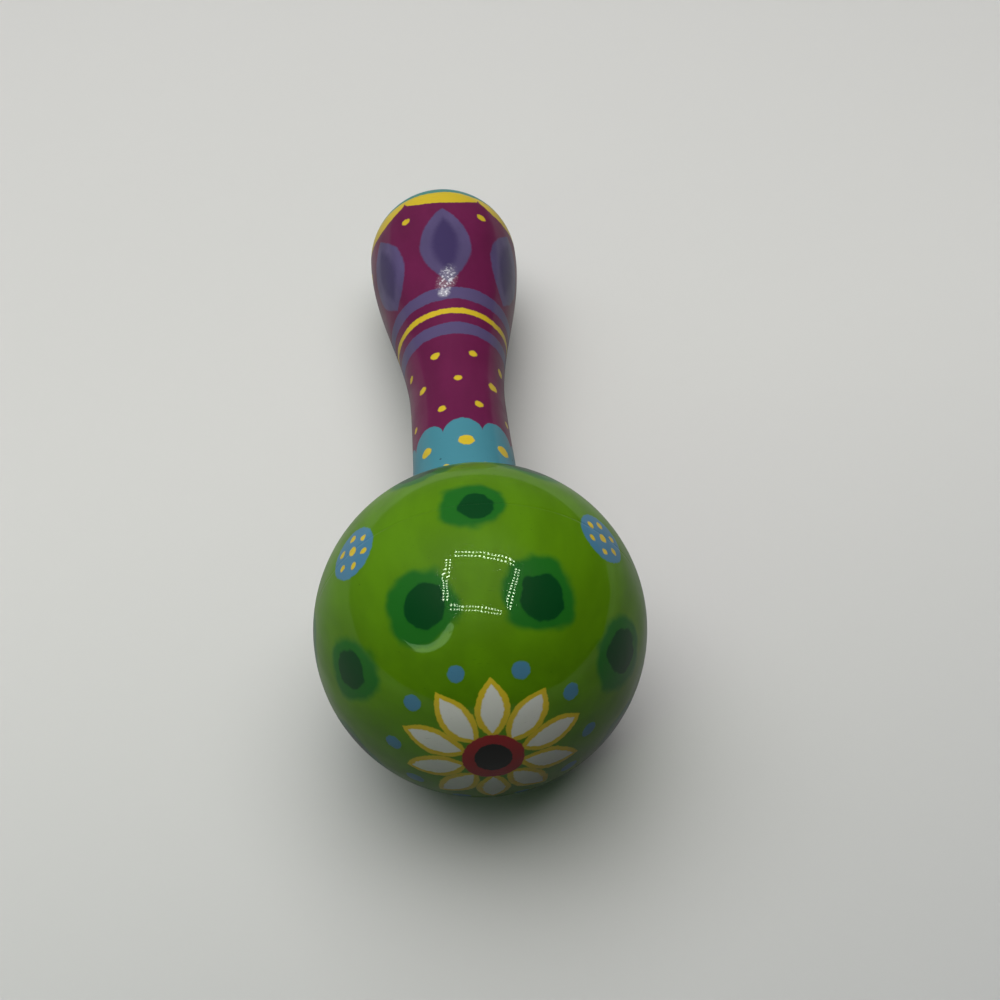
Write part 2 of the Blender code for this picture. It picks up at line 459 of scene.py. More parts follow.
class PaintBench:
    """One finish in the making, on a material, a lamp or the world."""

    def __init__(self, owner, shader="Principled BSDF"):
        owner.use_nodes = True
        self.owner = owner
        self.tree = owner.node_tree
        self.shader = self.tree.nodes[shader]
        self.place = {}
        self.colour = None
        self.thickness = 0.0

    def feed(self, socket, value):
        if isinstance(value, bpy.types.NodeSocket):
            self.tree.links.new(value, socket)
        else:
            socket.default_value = value

    def send(self, values):
        """Sends results and plain values to the shader's sockets."""
        for name, value in values.items():
            self.feed(self.shader.inputs[name], value)

    def put(self, kind, inputs, output=0, **settings):
        node = self.tree.nodes.new("ShaderNode" + kind)
        for name, value in settings.items():
            setattr(node, name, value)
        for key, value in inputs.items():
            self.feed(node.inputs[key], value)
        return node.outputs[output]

    def calc(self, operation, *values):
        return self.put("Math", dict(enumerate(values)), operation=operation)

    def length(self, across, up):
        return self.calc("SQRT", self.calc("MULTIPLY_ADD", across, across, self.calc("MULTIPLY", up, up)))

    def stretch(self, point, scale):
        return self.put("VectorMath", {0: point, 1: scale}, operation="MULTIPLY")

    def split(self, point):
        return self.put("SeparateXYZ", {0: point}).node.outputs

    def noise(self, point, scale, detail=2.0, output="Fac"):
        return self.put("TexNoise", {"Vector": point, "Scale": scale, "Detail": detail}, output)

    def ramp(self, value, low, high, to_low=0.0, to_high=1.0):
        inputs = {"Value": value, "From Min": low, "From Max": high, "To Min": to_low, "To Max": to_high}
        return self.put("MapRange", inputs, interpolation_type="SMOOTHSTEP")

    def inside(self, distance, softness):
        """1 within the motif's edge and 0 outside it, with an edge that is soft over this many mm."""
        return self.ramp(distance, -softness, softness, 1.0, 0.0)

    def lay(self, under, over, mask):
        return self.put("Mix", {0: mask, 6: under, 7: over}, 2, data_type="RGBA")

    def shade(self, colour, amount):
        """The colour times an amount, which may vary over the surface."""
        grey = self.put("CombineColor", {0: amount, 1: amount, 2: amount})
        return self.put("Mix", {0: 1.0, 6: colour, 7: grey}, 2, data_type="RGBA", blend_type="MULTIPLY")

    def coat(self, paint, distance, edge=BRUSH_EDGE, fray=BRUSH_FRAY):
        """Paints a motif over what is there. Its edge frays by some mm, in steps of about that size."""
        wobble = self.noise(self.place["point"], FRAY_PITCH / fray)
        swing = FRAY_SWING * fray
        frayed = self.calc("MULTIPLY_ADD", wobble, swing, self.calc("SUBTRACT", distance, swing / 2))
        mask = self.inside(frayed, edge)
        self.colour = self.lay(self.colour, paint, mask)
        self.thickness = self.calc("MAXIMUM", self.thickness, mask)


def new_paint(name):
    return PaintBench(bpy.data.materials.new(name))


print("paint bench ready")

# %% [markdown]
# ## Finding a place on a turned surface
#
# A brush on a turned toy knows two things: how far along the piece it is, and how far round. So each
# point is turned back onto the upright lathe axis, in millimetres, and written as along, around and
# reach, the distance from the axis. On the ball, along is measured over the skin from the middle of
# its front. A slow noise moves every point a little first, so all motifs waver as handwork does.

# %% Places on a turned piece
MILLIMETRE = 0.001
BALL_MM = BALL_RADIUS / MILLIMETRE
HAND_WAVER = 0.55
WAVER_SCALE = 0.16
WAVER_DETAIL = 3.0
FULL_TURN = 2 * math.pi


def find_place(bench, on_ball):
    raw = bench.put("TexCoord", {}, "Object")
    mapping = {"Vector": raw, "Location": BALL_CENTRE, "Rotation": LAYING, "Scale": [MILLIMETRE] * 3}
    point = bench.put("Mapping", mapping, vector_type="TEXTURE")
    waver = bench.noise(point, WAVER_SCALE, WAVER_DETAIL, "Color")
    waver = bench.put("VectorMath", {0: waver, 1: [0.5] * 3}, operation="SUBTRACT")
    waver = bench.stretch(waver, [2 * HAND_WAVER] * 3)
    x, y, z = bench.split(bench.put("VectorMath", {0: point, 1: waver}, operation="ADD"))
    reach = bench.length(x, y)
    around = bench.calc("ARCTAN2", x, bench.calc("MULTIPLY", y, -1.0))
    along = z
    if on_ball:
        from_front = bench.calc("ARCTAN2", reach, bench.calc("MULTIPLY", z, -1.0))
        along = bench.calc("MULTIPLY", from_front, BALL_MM)
    bench.place = {"point": point, "along": along, "around": around, "reach": reach}


print(f"places are in mm on a ball of radius {BALL_MM:.2f}")

# %% [markdown]
# ## Rings of motifs
#
# Almost everything on the toy is a motif that repeats round it. A ring finds the nearest of its
# motifs and gives the distance across and up from that motif's middle, so one dot or leaf is drawn
# and the whole ring appears. Each motif also gets its own luck, a random number that is the same
# in each render. It moves the motif and changes its size a little, as a hand does.

# %% Rings, dots, leaves and scallops


def by_luck(bench, value, luck, amount):
    """The value, moved by luck up to this amount either way."""
    return bench.calc("MULTIPLY_ADD", luck, 2 * amount, bench.calc("SUBTRACT", value, amount))


def ring(bench, at, count, phase=0.0, stray=0.0, place=None):
    """The nearest of count motifs in a ring: mm across and up from it, its share of a step, its luck."""
    place = place or bench.place
    turn = bench.calc("MULTIPLY_ADD", place["around"], count / FULL_TURN, phase)
    number = bench.calc("ROUND", turn)
    share = bench.calc("SUBTRACT", turn, number)
    step = bench.calc("MULTIPLY", place["reach"], FULL_TURN / count)
    seed = bench.calc("ADD", bench.calc("FLOORED_MODULO", number, count), at)
    luck = bench.put("TexWhiteNoise", {"W": seed}, "Color", noise_dimensions="1D")
    aside, along, size = bench.put("SeparateColor", {0: luck}).node.outputs
    across = by_luck(bench, bench.calc("MULTIPLY", share, step), aside, stray)
    up = by_luck(bench, bench.calc("SUBTRACT", place["along"], at), along, stray)
    return {"share": share, "across": across, "up": up, "luck": size}


def disc(bench, spot, radius, uneven=0.0):
    """Distance from a round dot's edge."""
    far = bench.length(spot["across"], spot["up"])
    return bench.calc("SUBTRACT", far, by_luck(bench, radius, spot["luck"], uneven))


def leaf(bench, spot, half_width, half_length):
    """Distance from a leaf that points along the piece."""
    part = bench.calc("DIVIDE", spot["up"], half_length)
    left = bench.calc("SUBTRACT", 1.0, bench.calc("MULTIPLY", part, part))
    width = bench.calc("MULTIPLY", left, half_width)
    return bench.calc("SUBTRACT", bench.calc("ABSOLUTE", spot["across"]), width)


def stripe(bench, at, half_width):
    off = bench.calc("ABSOLUTE", bench.calc("SUBTRACT", bench.place["along"], at))
    return bench.calc("SUBTRACT", off, half_width)


def scallops(bench, spot, depth, uneven, side=1.0):
    """Distance from an edge of round scallops. Side is 1 to reach up the piece and -1 to reach down."""
    share = bench.calc("MULTIPLY", spot["share"], 2.0)
    round_off = bench.calc("SQRT", bench.calc("SUBTRACT", 1.0, bench.calc("MULTIPLY", share, share)))
    reach = bench.calc("MULTIPLY", round_off, by_luck(bench, depth, spot["luck"], uneven))
    return bench.calc("SUBTRACT", bench.calc("MULTIPLY", spot["up"], side), reach)


print("motifs: disc, leaf, stripe, scallops")

# %% [markdown]
# ## Brush marks, pores and specks
#
# Paint on wood is never quite even. The brush leaves slow streaks of lighter and darker paint. Coarse
# wood still prints through as short dark pores across the piece, in some patches more than in others.
# A few tiny chips and dust nibs are left as well.

# %% Brush marks, pores and specks
BRUSH_STRETCH = (0.175, 0.175, 0.056)
STREAKS = (0.3, 0.7)
STREAK_DETAIL = 4.0
STREAK_AMOUNT = 0.10
PORE_STRETCH = (0.35, 5.0, 5.0)
PORE_DETAIL = 3.0
PORE_LINES = (0.64, 0.74)
PORE_PATCHES = (0.45, 0.62)
PORE_PATCH_SCALE = 0.14
PORE_PATCH_DETAIL = 1.0
SPECK_SCALE = 0.22
SPECK_LUCK = (0.55, 1.0)
SPECK_SIZE = (-0.05, 0.055)
SPECK_EDGE = 0.015


def brushed(bench, colour, amount=STREAK_AMOUNT):
    """Slow light and dark streaks where the brush laid the coat on unevenly."""
    streak = bench.noise(bench.stretch(bench.place["point"], BRUSH_STRETCH), 1.0, STREAK_DETAIL)
    return bench.shade(colour, bench.ramp(streak, *STREAKS, 1.0 - amount, 1.0 + amount))


def pores(bench):
    """1 in the short pores of the wood, which run across the turned piece."""
    line = bench.noise(bench.stretch(bench.place["point"], PORE_STRETCH), 1.0, PORE_DETAIL)
    patch = bench.noise(bench.place["point"], PORE_PATCH_SCALE, PORE_PATCH_DETAIL)
    return bench.calc("MULTIPLY", bench.ramp(line, *PORE_LINES), bench.ramp(patch, *PORE_PATCHES))


def specks(bench):
    """1 in a few tiny chips and dust nibs."""
    cells = {"Vector": bench.place["point"], "Scale": SPECK_SCALE}
    near = bench.put("TexVoronoi", cells, "Distance")
    luck = bench.put("SeparateColor", {0: bench.put("TexVoronoi", cells, "Color")}, "Red")
    size = bench.ramp(luck, *SPECK_LUCK, *SPECK_SIZE)
    return bench.inside(bench.calc("SUBTRACT", near, size), SPECK_EDGE)


print("marks: streaks, pores, specks")

# %% [markdown]
# ## Lacquer over painted wood
#
# Under lacquer the paint's own roughness hardly shows: the top coat gives the sharp mirror of the
# lamps, and its faint orange peel makes that mirror waver. The edge of each motif is a step of paint
# that the lacquer rounds off. The coat is thin, so it mirrors less than a thick one would.

# %% Lacquer
PORE_SHADE = 0.72
SPECK_SHADE = 0.45
SPECK_DEPTH = 1.5
PAINT_STEP = 0.000010
PEEL_DEPTH = 0.000045
PEEL_DETAIL = 0.6
GRIT_SCALE = 2.6
GRIT_DETAIL = 1.0
UNDER_SCALE = 0.09
UNDER_DETAIL = 5.0
UNDER_PATCHES = (0.35, 0.75)
UNDER_ROUGHNESS = (0.30, 0.48)
COAT = {"Coat IOR": 1.5, "Specular IOR Level": 0.05}


def lacquer(bench, peel_scale, grit, gloss, roughness):
    """Sends the colour, the relief and the gloss to the shader."""
    point = bench.place["point"]
    grain = pores(bench)
    chips = specks(bench)
    colour = bench.shade(bench.colour, bench.ramp(grain, 0.0, 1.0, 1.0, PORE_SHADE))
    colour = bench.shade(colour, bench.ramp(chips, 0.0, 1.0, 1.0, SPECK_SHADE))
    peel = bench.noise(point, peel_scale, PEEL_DETAIL)
    skin = bench.calc("MULTIPLY_ADD", bench.noise(point, GRIT_SCALE, GRIT_DETAIL), grit, peel)
    bump = bench.put("Bump", {"Strength": 1.0, "Distance": PEEL_DEPTH, "Height": skin})
    holes = bench.calc("MULTIPLY_ADD", chips, SPECK_DEPTH, grain)
    layers = bench.calc("SUBTRACT", bench.thickness, holes)
    bump = bench.put("Bump", {"Strength": 1.0, "Distance": PAINT_STEP, "Height": layers, "Normal": bump})
    patches = bench.noise(point, UNDER_SCALE, UNDER_DETAIL)
    under = bench.ramp(patches, *UNDER_PATCHES, *UNDER_ROUGHNESS)
    bench.send({"Base Color": colour, "Roughness": under, "Normal": bump, "Coat Normal": bump})
    bench.send({**COAT, "Coat Weight": gloss, "Coat Roughness": roughness})


print("lacquer ready")

# %% [markdown]
# ## Dots for the ball
#
# The ground is a bright leaf green. Round dots in two deeper greens stand in staggered rings, a
# softly sprayed patch with a crisp dark middle, and some blue dots with yellow pips among them.

# %% Dots for the ball
GREEN = srgb(84, 127, 10)
SPRAYED_GREEN = srgb(30, 100, 28)
DEEP_GREEN = srgb(8, 64, 26)
BLUE = srgb(72, 122, 150)
YELLOW = srgb(206, 178, 42)
DOT_RINGS = ((27.5, 8, 0.5), (43.0, 4, 0.0), (59.0, 8, 0.5), (71.0, 8, 0.0))
DOT_STRAY = 1.1
MIDDLE_STRAY = DOT_STRAY / 3
DOT_UNEVEN = 0.55
POLE_SHRINK = 1.15
SPRAY_DOT = 5.7
SPRAY_EDGE = 0.8
SPRAY_FRAY = 1.0
DEEP_DOT = 3.3
DEEP_EDGE = 0.25
DEEP_FRAY = 0.5
BLUE_RING = (43.0, 4, 0.5, 0.6)
BLUE_DOT = 5.2
PIPS = 6
PIP_RING = 3.0
PIP = 0.6
PIP_UNEVEN = 0.1
MIDDLE_PIP = 0.85


def paint_dots(bench):
    for at, count, phase in DOT_RINGS:
        shrink = min(1.0, math.sin(at / BALL_MM) * POLE_SHRINK)
        patch = disc(bench, ring(bench, at, count, phase, DOT_STRAY), SPRAY_DOT * shrink, DOT_UNEVEN)
        middle = disc(bench, ring(bench, at, count, phase, MIDDLE_STRAY), DEEP_DOT * shrink, DOT_UNEVEN)
        bench.coat(SPRAYED_GREEN, patch, SPRAY_EDGE, SPRAY_FRAY)
        bench.coat(DEEP_GREEN, middle, DEEP_EDGE, DEEP_FRAY)


def paint_blue_dots(bench):
    spot = ring(bench, *BLUE_RING)
    bench.coat(BLUE, disc(bench, spot, BLUE_DOT, DOT_UNEVEN))
    from_middle = bench.length(spot["across"], spot["up"])
    around = bench.calc("ARCTAN2", spot["across"], spot["up"])
    place = {"along": from_middle, "around": around, "reach": from_middle}
    bench.coat(YELLOW, disc(bench, ring(bench, PIP_RING, PIPS, place=place), PIP, PIP_UNEVEN))
    bench.coat(YELLOW, bench.calc("SUBTRACT", from_middle, MIDDLE_PIP))


print("rings of dots:", len(DOT_RINGS) + 1)

# %% [markdown]
# ## A daisy for the front
#
# The ball's front carries a plain daisy: a dark middle, a red ring and white petals with a yellow
# border. All of the ball's paint is dots, rings and petals, the stock of any toy painter. Lacquer
# goes over it.

# %% Paint the ball
WHITE = srgb(214, 212, 206)
BLACK = srgb(22, 21, 21)
RED = srgb(150, 36, 40)
PETALS = 10
PETAL_STRAY = 0.15
PETAL_AT = 9.6
PETAL_SIZE = (2.75, 5.4)
PETAL_WHITE = (1.75, 4.3)
DAISY_RED = 5.0
DAISY_MIDDLE = 3.0
TIP_DOTS = (16.2, PETALS, 0.5, 0.3)
TIP_DOT = 1.35
TIP_UNEVEN = 0.2
BALL_LACQUER = {"peel_scale": 0.24, "grit": 0.006, "gloss": 0.42, "roughness": 0.03}


def paint_daisy(bench):
    petal = ring(bench, PETAL_AT, PETALS, stray=PETAL_STRAY)
    bench.coat(YELLOW, leaf(bench, petal, *PETAL_SIZE))
    bench.coat(WHITE, leaf(bench, petal, *PETAL_WHITE))
    bench.coat(RED, bench.calc("SUBTRACT", bench.place["along"], DAISY_RED))
    bench.coat(BLACK, bench.calc("SUBTRACT", bench.place["along"], DAISY_MIDDLE))
    bench.coat(BLUE, disc(bench, ring(bench, *TIP_DOTS), TIP_DOT, TIP_UNEVEN))


def paint_ball():
    bench = new_paint("lacquered_green")
    find_place(bench, on_ball=True)
    bench.colour = brushed(bench, GREEN)
    paint_dots(bench)
    paint_blue_dots(bench)
    paint_daisy(bench)
    lacquer(bench, **BALL_LACQUER)
    return bench.owner


ball_paint = paint_ball()
print(ball_paint.name, "has", len(ball_paint.node_tree.nodes), "nodes")

# %% [markdown]
# ## A painted highlight on the handle
#
# A painted highlight lies on the top ridge of the handle. Pale grit is painted over the lacquer in
# place of the sparkle of light there, with a brighter painted glint at the patch's lower end.

# %% A painted highlight
# place, size, grit and glint of the painted highlight on the handle's ridge
HIGHLIGHT_SPOT = (87.0, 1, 0.004)
HIGHLIGHT_SIZE = (2.3, 4.6)
HIGHLIGHT_LEAN = 0.25
HIGHLIGHT_FADE = (0.3, 1.1)
HIGHLIGHT_GRIT_SCALE = 2.0
HIGHLIGHT_GRIT_DETAIL = 4.0
HIGHLIGHT_GRIT = (0.48, 0.66)
HIGHLIGHT_CLOUD = (0.14, 0.95)
GLINT_SPOT = (83.2, 1, 0.016)
GLINT_RADIUS = 0.95
GLINT_EDGE = 0.6
GLINT_GRIT = (0.0, 0.6, 0.4, 1.0)
PAINTED_HIGHLIGHT = srgb(226, 224, 228)


def paint_ridge_highlight(bench):
    """A painted highlight of pale grit on the ridge, with a brighter painted glint at its lower end."""
    spot = ring(bench, *HIGHLIGHT_SPOT)
    leaning = bench.calc("MULTIPLY_ADD", spot["up"], -HIGHLIGHT_LEAN, spot["across"])
    width, length = HIGHLIGHT_SIZE
    off = bench.length(bench.calc("DIVIDE", leaning, width), bench.calc("DIVIDE", spot["up"], length))
    fade = bench.ramp(off, *HIGHLIGHT_FADE, 1.0, 0.0)
    grit = bench.noise(bench.place["point"], HIGHLIGHT_GRIT_SCALE, HIGHLIGHT_GRIT_DETAIL)
    grit = bench.ramp(grit, *HIGHLIGHT_GRIT)
    cloud = bench.calc("MULTIPLY", fade, bench.ramp(grit, 0.0, 1.0, *HIGHLIGHT_CLOUD))
    # the painted glint: the brightest spot of the painted highlight
    bare = bench.inside(disc(bench, ring(bench, *GLINT_SPOT), GLINT_RADIUS), GLINT_EDGE)
    bare = bench.calc("MULTIPLY", bare, bench.ramp(grit, *GLINT_GRIT))
    mask = bench.calc("MAXIMUM", cloud, bare)
    bench.colour = bench.lay(bench.colour, PAINTED_HIGHLIGHT, mask)
    bench.thickness = bench.calc("SUBTRACT", bench.thickness, mask)


# the patch is a painted highlight
print("rubbed patch ready")

# %% [markdown]
# ## The handle's paint
#
# The handle is magenta. A blue collar with round scallops and yellow dots meets the ball, rings of
# small dots and painted stripes go round the waist, and violet leaves stand round the thick end,
# which closes with a scalloped yellow ring and a teal cap. Stripes come easily to a piece that
# still spins on its lathe.

# %% Paint the handle
MAGENTA = srgb(104, 30, 70)
VIOLET = srgb(88, 76, 114)
DEEP_VIOLET = srgb(64, 52, 92)
TEAL = srgb(44, 128, 120)
COLLAR_BLUE = srgb(70, 132, 146)
COLLAR = (41.5, 8)
COLLAR_SCALLOPS = (4.0, 0.8)
COLLAR_DOTS = ((38.0, 8, 0.0, 1.3), (31.0, 8, 0.5, 1.0))
WAIST_DOTS = ((49.5, 8, 0.5, 0.8), (57.5, 8, 0.0, 0.9), (65.5, 8, 0.5, 0.9))
DOT_WANDER = 0.5
DOT_SIZE_WANDER = 0.2
STRIPES = ((73.0, 1.7, VIOLET), (78.0, 0.75, YELLOW), (83.0, 1.7, VIOLET))
LEAVES = (98.0, 6, 0.0, 0.3)
LEAF_SIZE = (5.4, 12.0)
LEAF_SHADE = (2.7, 8.5)
LEAF_EDGE = 0.28
LEAF_SHADE_EDGE = 1.0
LEAF_STREAKS = 0.16
LEAF_DOTS = (108.5, 6, 0.5, 1.1)
CAP = (116.2, 6)
CAP_SCALLOPS = (3.8, 0.4)
CAP_TEAL_AT = 117.2
HANDLE_LACQUER = {"peel_scale": 0.3, "grit": 0.03, "gloss": 0.32, "roughness": 0.08}


def paint_handle():
    bench = new_paint("lacquered_magenta")
    find_place(bench, on_ball=False)
    bench.colour = brushed(bench, MAGENTA)
    bench.coat(COLLAR_BLUE, scallops(bench, ring(bench, *COLLAR), *COLLAR_SCALLOPS))
    for at, half_width, paint in STRIPES:
        bench.coat(paint, stripe(bench, at, half_width))
    leaves = ring(bench, *LEAVES)
    bench.coat(brushed(bench, VIOLET, LEAF_STREAKS), leaf(bench, leaves, *LEAF_SIZE), LEAF_EDGE)
    bench.coat(DEEP_VIOLET, leaf(bench, leaves, *LEAF_SHADE), LEAF_SHADE_EDGE)
    for at, count, phase, radius in (*COLLAR_DOTS, *WAIST_DOTS, LEAF_DOTS):
        spot = ring(bench, at, count, phase, DOT_WANDER)
        bench.coat(YELLOW, disc(bench, spot, radius, radius * DOT_SIZE_WANDER))
    bench.coat(YELLOW, scallops(bench, ring(bench, *CAP), *CAP_SCALLOPS, side=-1.0))
    bench.coat(TEAL, bench.calc("SUBTRACT", CAP_TEAL_AT, bench.place["along"]))
    # painted highlight on the top ridge
    paint_ridge_highlight(bench)
    lacquer(bench, **HANDLE_LACQUER)
    return bench.owner


handle_paint = paint_handle()
print(handle_paint.name, "has", len(handle_paint.node_tree.nodes), "nodes")

# %% [markdown]
# ## Bare wood and steel
#
# The hollow, the glue faces and the tenon are bare turned wood. It is a pale close-grained wood, with
# year rings that the lathe has cut across, so the rings are drawn as a wave through the solid. The
# shot is dull tumbled steel with a little colour from handling.

# %% Bare wood and shot
PALE_WOOD = srgb(206, 172, 124)
LATE_WOOD = srgb(182, 142, 94)
BRIGHT_STEEL = srgb(190, 188, 184)
STAINED_STEEL = srgb(140, 134, 126)
GRAIN_STRETCH = (0.02, 0.3, 0.3)
YEAR_RINGS = {"Scale": 0.7, "Distortion": 2.4, "Detail": 3.0}
FIBRE_SHADE = 0.7
FIBRE_DEPTH = 0.00003
WOOD_ROUGHNESS = (0.55, 0.7)
STAIN_SCALE = 0.9
STAIN_DETAIL = 4.0
STAINS = (0.35, 0.7)
STEEL_ROUGHNESS = (0.24, 0.42)
SCRATCH_SCALE = 5.0
SCRATCH_DETAIL = 3.0
SCRATCH_DEPTH = 0.000006


def bare_wood():
    bench = new_paint("bare_turned_wood")
    find_place(bench, on_ball=False)
    across_grain = bench.stretch(bench.place["point"], GRAIN_STRETCH)
    year = bench.put("TexWave", {"Vector": across_grain, **YEAR_RINGS}, "Fac", wave_type="RINGS")
    fibre = pores(bench)
    colour = bench.lay(PALE_WOOD, LATE_WOOD, year)
    colour = bench.shade(colour, bench.ramp(fibre, 0.0, 1.0, 1.0, FIBRE_SHADE))
    relief = bench.calc("SUBTRACT", year, fibre)
    bump = bench.put("Bump", {"Strength": 1.0, "Distance": FIBRE_DEPTH, "Height": relief})
    roughness = bench.ramp(year, 0.0, 1.0, *WOOD_ROUGHNESS)
    bench.send({"Base Color": colour, "Roughness": roughness, "Normal": bump})
    return bench.owner


def shot_steel():
    bench = new_paint("tumbled_steel")
    point = bench.stretch(bench.put("TexCoord", {}, "Object"), [1 / MILLIMETRE] * 3)
    stain = bench.ramp(bench.noise(point, STAIN_SCALE, STAIN_DETAIL), *STAINS)
    colour = bench.lay(BRIGHT_STEEL, STAINED_STEEL, stain)
    scratches = bench.noise(point, SCRATCH_SCALE, SCRATCH_DETAIL)
    bump = bench.put("Bump", {"Strength": 1.0, "Distance": SCRATCH_DEPTH, "Height": scratches})
    bench.send({"Base Color": colour, "Roughness": bench.ramp(stain, 0.0, 1.0, *STEEL_ROUGHNESS)})
    bench.send({"Normal": bump, "Metallic": 1.0})
    return bench.owner


wood = bare_wood()
steel = shot_steel()
print("bare wood and steel ready")

# %% [markdown]
# ## Putting the finishes on
#
# Paint is only where the brush could reach once the toy was glued up. A face belongs to the outside
# if it lies on the ball's own radius, or on the handle beyond the shoulder. All other faces, such as
# the hollow, the rims and the tenon, stay bare wood.

# %% Give each face its finish
SKIN = 0.0002
SEAT_SKIN = 0.00002


def dress(piece, paint, is_outside):
    """Paint on the faces whose middle is outside on the upright piece, bare wood elsewhere."""
    upright = LAID_DOWN.inverted()
    piece.data.materials.append(paint)
    piece.data.materials.append(wood)
    for face in piece.data.polygons:
        face.material_index = 0 if is_outside(upright @ face.center) else 1
    painted = sum(face.material_index == 0 for face in piece.data.polygons)
    print(piece.name, "painted faces:", painted, "of", len(piece.data.polygons))


for half in (front, rear):
    dress(half, ball_paint, lambda middle: middle.length > BALL_RADIUS - SKIN)
dress(handle, handle_paint, lambda middle: middle.length > seat_radius + SEAT_SKIN)
for bead in beads.values():
    bead.data.materials.append(steel)

# %% [markdown]
# ## What moves with what
#
# The three wooden pieces are glued, so they ride together. Each bead rides on its own body, and it
# hides the plain CAD bead that it stands for.

# %% Ride and replace
turned = (
    (front, "head_front_half", "head_paint"),
    (rear, "head_rear_half", "head_paint"),
    (handle, "handle", "handle_paint"),
)
for piece, node, slot in turned:
    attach(piece, "shaker")
    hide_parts(node)
for name, bead in beads.items():
    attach(bead, name)
    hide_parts(name)
print("pieces:", len(turned) + len(beads))

# %% [markdown]
# ## The floor
#
# The toy lies on a pale floor, with a painted shadow that darkens it towards the front and right. The
# camera sees it pale all the way out, where it glows a little to make up for the distance from the
# lamps. The mirror of the lacquer sees it about half as bright. The floor's soft light back onto the
# toy is kept low and comes mostly from close by, which leaves the toy's lower side in shade as in the
# photograph.

# %% Lay the floor
FLOOR_SIZE = 4
FLOOR_COLOUR = (0.645, 0.632, 0.604, 1)
# painted shadow: the floor's colour towards the front and right, and where it fades in
FLOOR_PAINTED_SHADOW = (0.44, 0.437, 0.43, 1)
PAINTED_SHADOW_SIDE = (0.22, -0.975, 0)
PAINTED_SHADOW_FADE = (-0.05, 0.22)
SHEET = (0.07, 0.069, 0.067, 1)
BEYOND_SHEET = (0.03, 0.03, 0.03, 1)
SHEET_EDGE = (0.06, 0.22)
MIRROR_SHARE = 0.5
BACKDROP = (0.60, 0.598, 0.582, 1)
FAR_FLOOR = (0.2, 0.5)
FLOOR_FINISH = {"Roughness": 0.9, "Specular IOR Level": 0.1}


def kinds_of_ray(bench):
    """1 for rays straight from the camera or through glass, and 1 for rays that mirror."""
    rays = bench.put("LightPath", {}).node.outputs
    straight = bench.calc("MAXIMUM", rays["Is Camera Ray"], rays["Is Transmission Ray"])
    return straight, rays["Is Glossy Ray"]


def add_floor():
    clear_selection()
    bpy.ops.mesh.primitive_plane_add(size=FLOOR_SIZE)
    floor = bpy.context.object
    floor.name = "floor"
    bench = new_paint("pale_floor")
    point = bench.put("TexCoord", {}, "Object")
    # painted shadow darkens the floor's colour towards the front and right
    away = bench.put("VectorMath", {0: point, 1: PAINTED_SHADOW_SIDE}, "Value", operation="DOT_PRODUCT")
    shown = bench.lay(FLOOR_COLOUR, FLOOR_PAINTED_SHADOW, bench.ramp(away, *PAINTED_SHADOW_FADE))
    x, y, _ = bench.split(point)
    far = bench.length(x, y)
    lighting = bench.lay(SHEET, BEYOND_SHEET, bench.ramp(far, *SHEET_EDGE))
    straight, mirrored = kinds_of_ray(bench)
    seen = bench.calc("MAXIMUM", straight, bench.calc("MULTIPLY", mirrored, MIRROR_SHARE))
    distant = bench.calc("MULTIPLY", bench.ramp(far, *FAR_FLOOR), seen)
    near_colour = bench.lay(lighting, shown, seen)
    bench.send({"Base Color": bench.lay(near_colour, BLACK, distant)})
    bench.send({"Emission Color": BACKDROP, "Emission Strength": distant, **FLOOR_FINISH})
    floor.data.materials.append(bench.owner)
    return floor


floor = add_floor()
print(floor.name, "is", floor.dimensions.x, "m wide")

# %% [markdown]
# ## The lamp strips
#
# A rectangle of lamp strips hangs above the toy, each strip a double row of small bright dots. The
# lacquer mirrors it as the bright square on the ball, which is how its size and place were found.
# The strips serve the mirror alone, so the sparkle and the shading can each be set by themselves.

# %% Hang the lamp strips
FRAME_HEIGHT = 0.90
FRAME_SHIFT = (-0.007, -0.129)
FRAME_TURN = math.radians(-12.4)
FRAME_REACH = (0.377, 0.327)
STRIP_LENGTH = (0.50, 0.60)
ROW_GAP = 0.046
ROW_WIDTH = 0.018
ROW_POWER = 0.8
ROW_COLOUR = (0.80, 1.0, 0.68)
DOT_PITCH = 0.035
DOT_SHARE = (0.28, 0.34)
DOT_GAIN = 2.6


def light_in_dots(lamp, length):
    """Gathers a strip lamp's light into a row of small dots."""
    bench = PaintBench(lamp, "Emission")
    count = round(length / DOT_PITCH)
    _, y, _ = bench.split(bench.put("NewGeometry", {}, "Parametric"))
    wave = bench.calc("PINGPONG", y, 0.5 / count)
    bench.send({"Strength": bench.ramp(wave, DOT_SHARE[0] / count, DOT_SHARE[1] / count, 0.0, DOT_GAIN)})


def add_strip(name, place, turn, length):
    bpy.ops.object.light_add(type="AREA", location=place, rotation=(0, 0, turn))
    lamp = bpy.context.object
    lamp.name = name
    lamp.data.shape = "RECTANGLE"
    lamp.data.size = ROW_WIDTH
    lamp.data.size_y = length
    lamp.data.energy = ROW_POWER
    lamp.data.color = ROW_COLOUR
    lamp.visible_diffuse = False
    light_in_dots(lamp.data, length)


def add_lamp_frame():
    middle = BALL_CENTRE + Vector((*FRAME_SHIFT, FRAME_HEIGHT))
    for side in range(4):
        turn = FRAME_TURN + side * math.pi / 2
        outwards = Vector((math.cos(turn), math.sin(turn), 0))
        for row in range(2):
            place = middle + outwards * (FRAME_REACH[side % 2] - row * ROW_GAP)
            add_strip(f"strip_{side}_{row}", place, turn, STRIP_LENGTH[side % 2])


add_lamp_frame()

# %% [markdown]
# ## The soft panel
#
# One broad panel above does the lighting. It isn't mirrored, because the photograph shows no large
# bright patch on the lacquer. Its size sets how soft the shadow on the floor is.

# %% Hang the soft panel
PANEL_PLACE = (-0.08, 0.06, 0.90)
PANEL_SIZE = 1.1
PANEL_POWER = 10.4


